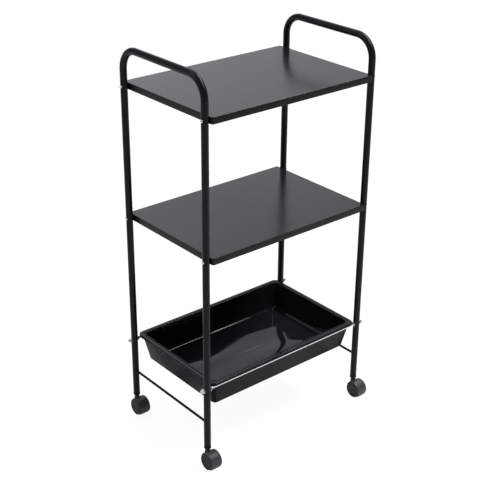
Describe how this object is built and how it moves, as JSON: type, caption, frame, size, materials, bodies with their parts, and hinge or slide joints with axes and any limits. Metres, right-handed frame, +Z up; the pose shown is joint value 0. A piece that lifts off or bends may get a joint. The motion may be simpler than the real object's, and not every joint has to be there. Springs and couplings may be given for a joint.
{
  "type": "rolling salon trolley",
  "caption": "Rolling salon trolley with black tube end frames, laminated shelves, a lift-out moulded tray on steel rods and swivelling twin-wheel casters.",
  "frame": {"origin": "on the floor, under the middle of the whole trolley's bounding box", "axes": "+X along the shelves, -Y to the front, +Z up"},
  "size_m": [0.5066, 0.3327, 0.93],
  "materials": {
    "powder_coat": "black semi-gloss powder coat",
    "shelf_laminate": "satin black melamine laminate on chipboard",
    "shelf_edging": "satin black edge band",
    "tray_plastic": "high-gloss black moulded plastic",
    "bright_zinc": "bright zinc plate",
    "caster_plastic": "satin dark grey nylon",
    "plain_steel": "plain turned steel"
  },
  "bodies": {
    "trolley": {"upper_frame_left": "powder_coat", "cross_rod_left": "powder_coat", "upper_frame_right": "powder_coat", "cross_rod_right": "powder_coat", "top_shelf_board": "shelf_laminate", "top_shelf_edging": "shelf_edging", "mid_shelf_board": "shelf_laminate", "mid_shelf_edging": "shelf_edging", "tray_rod_front": "bright_zinc", "lower_leg_front_left": "powder_coat", "top_shelf_screw_front_left": "bright_zinc", "mid_shelf_screw_front_left": "bright_zinc", "tray_rod_nut_front_left": "bright_zinc", "tray_rod_cap_nut_front_left": "bright_zinc", "caster_socket_front_left": "caster_plastic", "caster_grip_ring_front_left": "plain_steel", "lower_leg_front_right": "powder_coat", "top_shelf_screw_front_right": "bright_zinc", "mid_shelf_screw_front_right": "bright_zinc", "tray_rod_nut_front_right": "bright_zinc", "tray_rod_cap_nut_front_right": "bright_zinc", "caster_socket_front_right": "caster_plastic", "caster_grip_ring_front_right": "plain_steel", "tray_rod_back": "bright_zinc", "lower_leg_back_left": "powder_coat", "top_shelf_screw_back_left": "bright_zinc", "mid_shelf_screw_back_left": "bright_zinc", "tray_rod_nut_back_left": "bright_zinc", "tray_rod_cap_nut_back_left": "bright_zinc", "caster_socket_back_left": "caster_plastic", "caster_grip_ring_back_left": "plain_steel", "lower_leg_back_right": "powder_coat", "top_shelf_screw_back_right": "bright_zinc", "mid_shelf_screw_back_right": "bright_zinc", "tray_rod_nut_back_right": "bright_zinc", "tray_rod_cap_nut_back_right": "bright_zinc", "caster_socket_back_right": "caster_plastic", "caster_grip_ring_back_right": "plain_steel"},
    "tray": {"tray": "tray_plastic"},
    "swivel_front_left": {"caster_stem_front_left": "plain_steel", "caster_hood_front_left": "caster_plastic", "caster_axle_front_left": "plain_steel"},
    "wheel_front_left_left": {"caster_wheel_front_left_left": "caster_plastic"},
    "wheel_front_left_right": {"caster_wheel_front_left_right": "caster_plastic"},
    "swivel_front_right": {"caster_stem_front_right": "plain_steel", "caster_hood_front_right": "caster_plastic", "caster_axle_front_right": "plain_steel"},
    "wheel_front_right_left": {"caster_wheel_front_right_left": "caster_plastic"},
    "wheel_front_right_right": {"caster_wheel_front_right_right": "caster_plastic"},
    "swivel_back_left": {"caster_stem_back_left": "plain_steel", "caster_hood_back_left": "caster_plastic", "caster_axle_back_left": "plain_steel"},
    "wheel_back_left_left": {"caster_wheel_back_left_left": "caster_plastic"},
    "wheel_back_left_right": {"caster_wheel_back_left_right": "caster_plastic"},
    "swivel_back_right": {"caster_stem_back_right": "plain_steel", "caster_hood_back_right": "caster_plastic", "caster_axle_back_right": "plain_steel"},
    "wheel_back_right_left": {"caster_wheel_back_right_left": "caster_plastic"},
    "wheel_back_right_right": {"caster_wheel_back_right_right": "caster_plastic"}
  },
  "joints": [
    {"name": "tray_lift", "type": "slide", "parent": "trolley", "child": "tray", "axis": [0, 0, 1], "range_m": [0, 0.1]},
    {"name": "swivel_front_left", "type": "hinge", "parent": "trolley", "child": "swivel_front_left", "pos_m": [-0.2345, -0.13015, 0.06], "axis": [0, 0, 1], "continuous": true},
    {"name": "roll_front_left_left", "type": "hinge", "parent": "swivel_front_left", "child": "wheel_front_left_left", "pos_m": [-0.2345, -0.14415, 0.02], "axis": [1, 0, 0], "continuous": true},
    {"name": "roll_front_left_right", "type": "hinge", "parent": "swivel_front_left", "child": "wheel_front_left_right", "pos_m": [-0.2345, -0.14415, 0.02], "axis": [1, 0, 0], "continuous": true},
    {"name": "swivel_front_right", "type": "hinge", "parent": "trolley", "child": "swivel_front_right", "pos_m": [0.2345, -0.13015, 0.06], "axis": [0, 0, 1], "continuous": true},
    {"name": "roll_front_right_left", "type": "hinge", "parent": "swivel_front_right", "child": "wheel_front_right_left", "pos_m": [0.2345, -0.14415, 0.02], "axis": [1, 0, 0], "continuous": true},
    {"name": "roll_front_right_right", "type": "hinge", "parent": "swivel_front_right", "child": "wheel_front_right_right", "pos_m": [0.2345, -0.14415, 0.02], "axis": [1, 0, 0], "continuous": true},
    {"name": "swivel_back_left", "type": "hinge", "parent": "trolley", "child": "swivel_back_left", "pos_m": [-0.2345, 0.15285, 0.06], "axis": [0, 0, 1], "continuous": true},
    {"name": "roll_back_left_left", "type": "hinge", "parent": "swivel_back_left", "child": "wheel_back_left_left", "pos_m": [-0.2345, 0.13885, 0.02], "axis": [1, 0, 0], "continuous": true},
    {"name": "roll_back_left_right", "type": "hinge", "parent": "swivel_back_left", "child": "wheel_back_left_right", "pos_m": [-0.2345, 0.13885, 0.02], "axis": [1, 0, 0], "continuous": true},
    {"name": "swivel_back_right", "type": "hinge", "parent": "trolley", "child": "swivel_back_right", "pos_m": [0.2345, 0.15285, 0.06], "axis": [0, 0, 1], "continuous": true},
    {"name": "roll_back_right_left", "type": "hinge", "parent": "swivel_back_right", "child": "wheel_back_right_left", "pos_m": [0.2345, 0.13885, 0.02], "axis": [1, 0, 0], "continuous": true},
    {"name": "roll_back_right_right", "type": "hinge", "parent": "swivel_back_right", "child": "wheel_back_right_right", "pos_m": [0.2345, 0.13885, 0.02], "axis": [1, 0, 0], "continuous": true}
  ]
}
